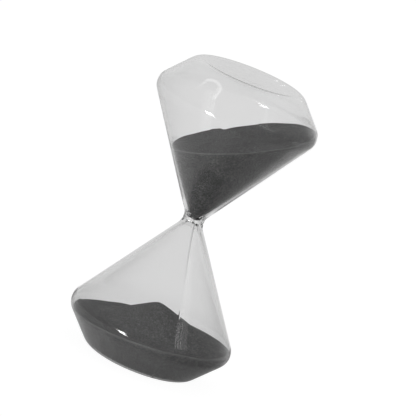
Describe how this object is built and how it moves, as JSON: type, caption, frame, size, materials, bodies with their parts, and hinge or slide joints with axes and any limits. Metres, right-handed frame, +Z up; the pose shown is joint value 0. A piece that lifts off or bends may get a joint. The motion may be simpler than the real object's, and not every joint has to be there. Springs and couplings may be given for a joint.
{
  "type": "hourglass",
  "caption": "Frameless all-glass hourglass: two conical bulbs with rounded rims and flat bases, fused at a thick neck, with loose dark sand above and below.",
  "frame": {"origin": "centre of the lower base, on the plane the hourglass stands on", "axes": "+Z up along the axis of both bulbs; +X towards the side where the sand in the upper bulb lies highest"},
  "size_m": [0.0926, 0.0926, 0.1695],
  "materials": {
    "clear_glass": "clear blown glass, fire polished",
    "dark_sand": "fine dry grains, matte"
  },
  "bodies": {
    "vessel": {"upper_bulb": "clear_glass", "lower_bulb": "clear_glass", "neck_throat": "clear_glass", "filling_seal": "clear_glass"},
    "upper_sand": {"upper_sand": "dark_sand"},
    "lower_sand": {"lower_sand": "dark_sand"}
  },
  "joints": [
    {"name": "upper_sand_roll", "type": "hinge", "parent": "vessel", "child": "upper_sand", "pos_m": [0, 0, 0.12], "axis": [0, 0, 1], "continuous": true},
    {"name": "lower_sand_roll", "type": "hinge", "parent": "vessel", "child": "lower_sand", "pos_m": [0, 0, 0.02], "axis": [0, 0, 1], "continuous": true}
  ]
}
